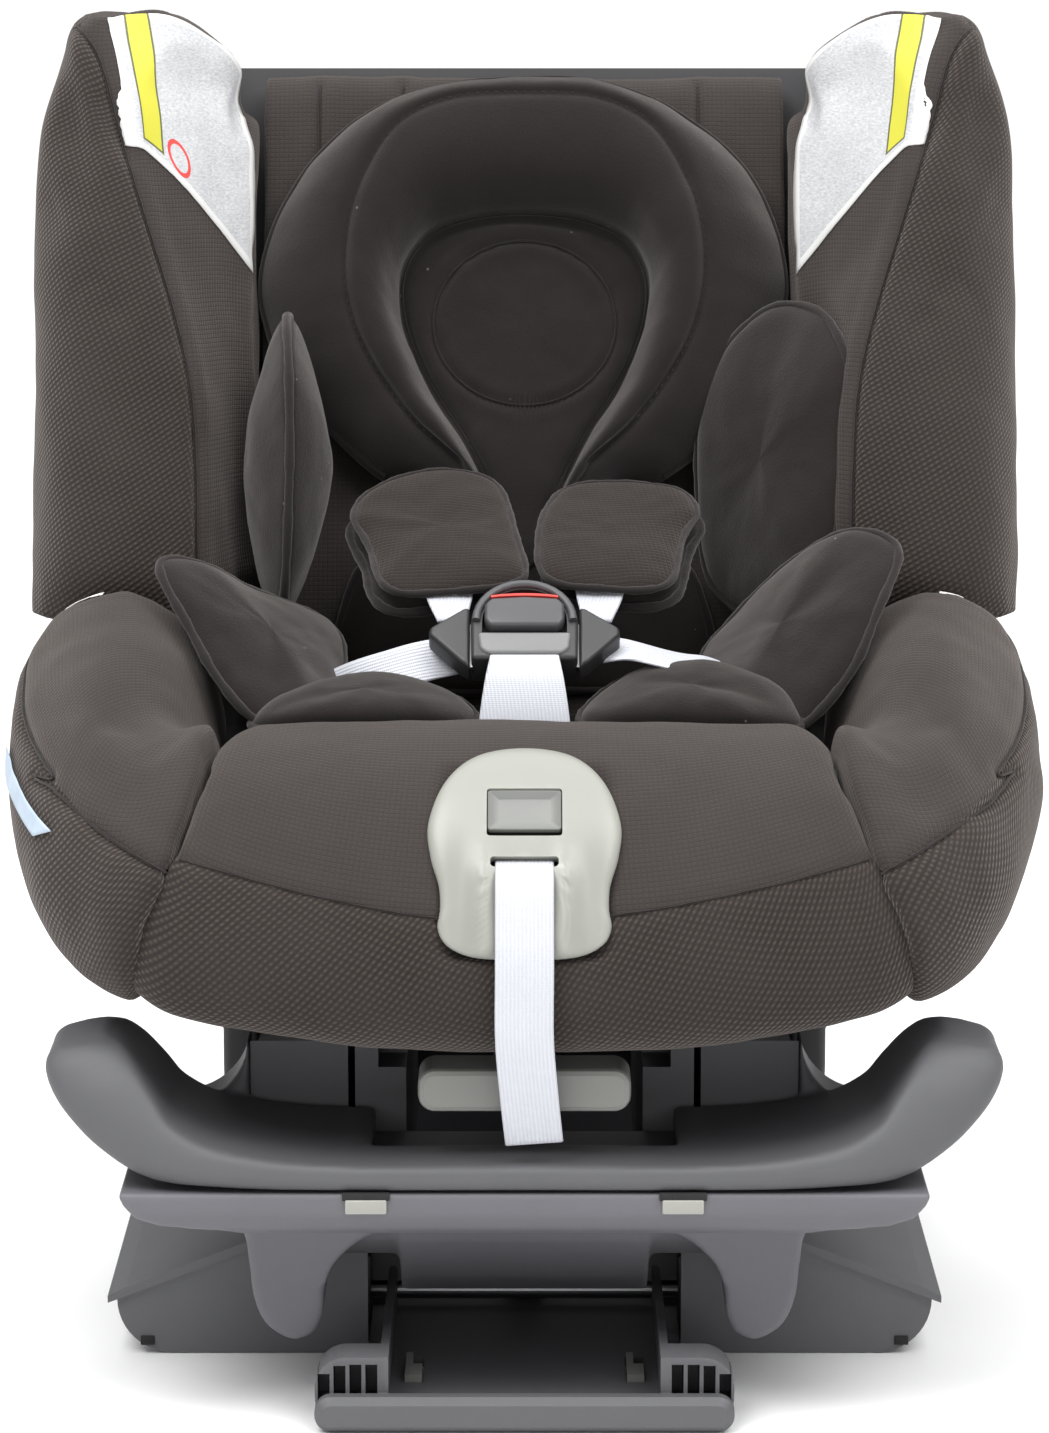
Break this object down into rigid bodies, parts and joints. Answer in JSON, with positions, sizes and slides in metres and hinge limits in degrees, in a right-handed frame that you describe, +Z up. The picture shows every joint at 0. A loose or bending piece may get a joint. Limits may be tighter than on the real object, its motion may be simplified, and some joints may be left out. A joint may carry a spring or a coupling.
{
  "type": "convertible child car seat",
  "caption": "Reclining bucket child seat with padded wings, newborn insert, harness and buckle, on a horned belt base with an arc track, pull handle and fold-down prop foot.",
  "frame": {"origin": "a point on the flat underside of the base pan, on the mirror plane", "axes": "+Z up, the child faces -Y, +X is to the right in a view from the front"},
  "size_m": [0.4502, 0.4753, 0.571],
  "materials": {
    "base_plastic": "fine moulded grain",
    "dark_plastic": "fine moulded grain",
    "trim_plastic": "satin",
    "handle_plastic": "satin",
    "steel": "zinc plated",
    "rubber": "matt",
    "cover_fabric": "woven cover over foam",
    "insert_fabric": "brushed jersey over foam",
    "webbing": "satin woven webbing"
  },
  "bodies": {
    "base": {"base_pan": "base_plastic", "base_tower": "base_plastic", "belt_deck": "base_plastic", "front_beam": "base_plastic", "side_cover_left": "base_plastic", "side_cover_right": "base_plastic", "recline_track_left": "base_plastic", "recline_track_right": "base_plastic", "brake_rail": "dark_plastic", "foot_hinge_pin": "steel", "base_screw_1": "steel", "base_screw_2": "steel", "base_screw_3": "steel", "base_screw_4": "steel", "rubber_pad_1": "rubber", "rubber_pad_2": "rubber", "rubber_pad_3": "rubber", "rubber_pad_4": "rubber"},
    "seat": {"seat_shell": "dark_plastic", "buckle_body": "dark_plastic", "adjuster_cam": "dark_plastic", "adjuster_trim": "trim_plastic", "harness_yoke": "steel", "recline_roller_left": "steel", "recline_roller_right": "steel", "seat_cushion": "cover_fabric", "back_pad": "cover_fabric", "thigh_bolster_left": "cover_fabric", "thigh_bolster_right": "cover_fabric", "back_wing_left": "cover_fabric", "back_wing_right": "cover_fabric", "chest_pad_left": "cover_fabric", "chest_pad_right": "cover_fabric", "head_pad": "insert_fabric", "head_cushion": "insert_fabric", "insert_seat_pad": "insert_fabric", "insert_back_pad": "insert_fabric", "insert_wing_upper_left": "insert_fabric", "insert_wing_upper_right": "insert_fabric", "insert_wing_lower_left": "insert_fabric", "insert_wing_lower_right": "insert_fabric", "crotch_strap": "webbing", "adjuster_strap": "webbing", "shoulder_strap_left": "webbing", "shoulder_strap_right": "webbing", "lap_strap_left": "webbing", "lap_strap_right": "webbing"},
    "foot": {"prop_foot": "base_plastic", "foot_clip_left": "handle_plastic", "foot_clip_right": "handle_plastic"},
    "handle": {"recline_handle": "handle_plastic"},
    "brake": {"recline_brake": "dark_plastic"},
    "buckle_press_button": {"buckle_button": "dark_plastic"},
    "adjuster_press_button": {"adjuster_button": "trim_plastic"},
    "tongue_left": {"buckle_tongue_left": "dark_plastic"},
    "tongue_right": {"buckle_tongue_right": "dark_plastic"}
  },
  "joints": [
    {"name": "seat_recline", "type": "hinge", "parent": "base", "child": "seat", "pos_m": [0, -0.02, 0.47], "axis": [-1, 0, 0], "range_deg": [0, 14]},
    {"name": "foot_fold", "type": "hinge", "parent": "base", "child": "foot", "pos_m": [0, -0.08, 0.014], "axis": [-1, 0, 0], "range_deg": [0, 15]},
    {"name": "handle_pull", "type": "slide", "parent": "seat", "child": "handle", "axis": [0, -1, 0], "range_m": [0, 0.009], "stiffness_N_per_m": 300, "springref_m": -0.006},
    {"name": "brake_lift", "type": "slide", "parent": "seat", "child": "brake", "axis": [0, 0, 1], "range_m": [0, 0.0041]},
    {"name": "buckle_press", "type": "slide", "parent": "seat", "child": "buckle_press_button", "axis": [0, 0.766, -0.6428], "range_m": [0, 0.003], "stiffness_N_per_m": 500, "springref_m": -0.001},
    {"name": "adjuster_press", "type": "slide", "parent": "seat", "child": "adjuster_press_button", "axis": [0, 0.7071, -0.7071], "range_m": [0, 0.004], "stiffness_N_per_m": 500, "springref_m": -0.001},
    {"name": "tongue_slide_left", "type": "slide", "parent": "seat", "child": "tongue_left", "axis": [-1, 0, 0], "range_m": [0, 0.012]},
    {"name": "tongue_slide_right", "type": "slide", "parent": "seat", "child": "tongue_right", "axis": [1, 0, 0], "range_m": [0, 0.012]}
  ],
  "couplings": [
    {"joint": "brake_lift", "follows": "handle_pull", "ratio": 0.4444}
  ]
}
